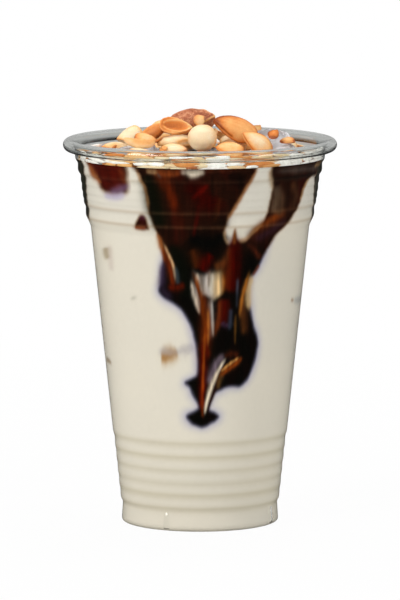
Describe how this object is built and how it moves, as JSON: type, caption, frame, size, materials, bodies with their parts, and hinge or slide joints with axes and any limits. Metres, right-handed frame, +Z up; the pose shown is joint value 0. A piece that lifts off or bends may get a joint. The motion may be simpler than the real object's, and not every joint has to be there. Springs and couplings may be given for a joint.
{
  "type": "iced coffee",
  "caption": "Clear cold cup filled with milk and coffee running down into it, topped with ice and a heap of split nuts.",
  "frame": {"origin": "middle of the ring that the cup stands on", "axes": "+Z up along the cup's axis, -Y towards the front"},
  "size_m": [0.098, 0.098, 0.1482],
  "materials": {
    "clear_plastic": "clear, glossy",
    "coffee": "dark liquid",
    "milk": "opaque milk",
    "ice": "clear, wet",
    "nut": "blanched, toasted at the edges",
    "nut_skin": "dry brown skin",
    "hazelnut": "blanched"
  },
  "bodies": {
    "root": {"coffee": "coffee", "cup": "clear_plastic", "ice_1": "ice", "ice_2": "ice", "ice_3": "ice", "ice_4": "ice", "ice_5": "ice", "ice_6": "ice", "ice_7": "ice", "milk": "milk", "nut_chunk_11": "nut", "nut_chunk_17": "nut", "nut_chunk_2": "nut", "nut_chunk_30": "nut", "nut_chunk_36": "nut", "nut_chunk_37": "nut", "nut_chunk_38": "nut", "nut_chunk_39": "nut", "nut_chunk_9": "nut", "nut_cup_10": "nut", "nut_cup_3": "nut", "nut_cup_34": "nut", "nut_half_1": "nut", "nut_half_12": "nut", "nut_half_13": "nut", "nut_half_14": "nut", "nut_half_15": "nut", "nut_half_19": "nut", "nut_half_20": "nut", "nut_half_21": "nut", "nut_half_22": "nut", "nut_half_23": "nut", "nut_half_24": "nut", "nut_half_26": "nut", "nut_half_28": "nut", "nut_half_31": "nut", "nut_half_32": "nut", "nut_half_33": "nut", "nut_half_35": "nut", "nut_half_5": "nut", "nut_half_6": "nut", "nut_half_8": "nut", "nut_hazel_18": "hazelnut", "nut_hazel_29": "hazelnut", "nut_hazel_4": "hazelnut", "nut_hazel_7": "hazelnut", "nut_sliver_27": "nut", "nut_whole_16": "nut_skin", "nut_whole_25": "nut_skin"}
  },
  "joints": []
}
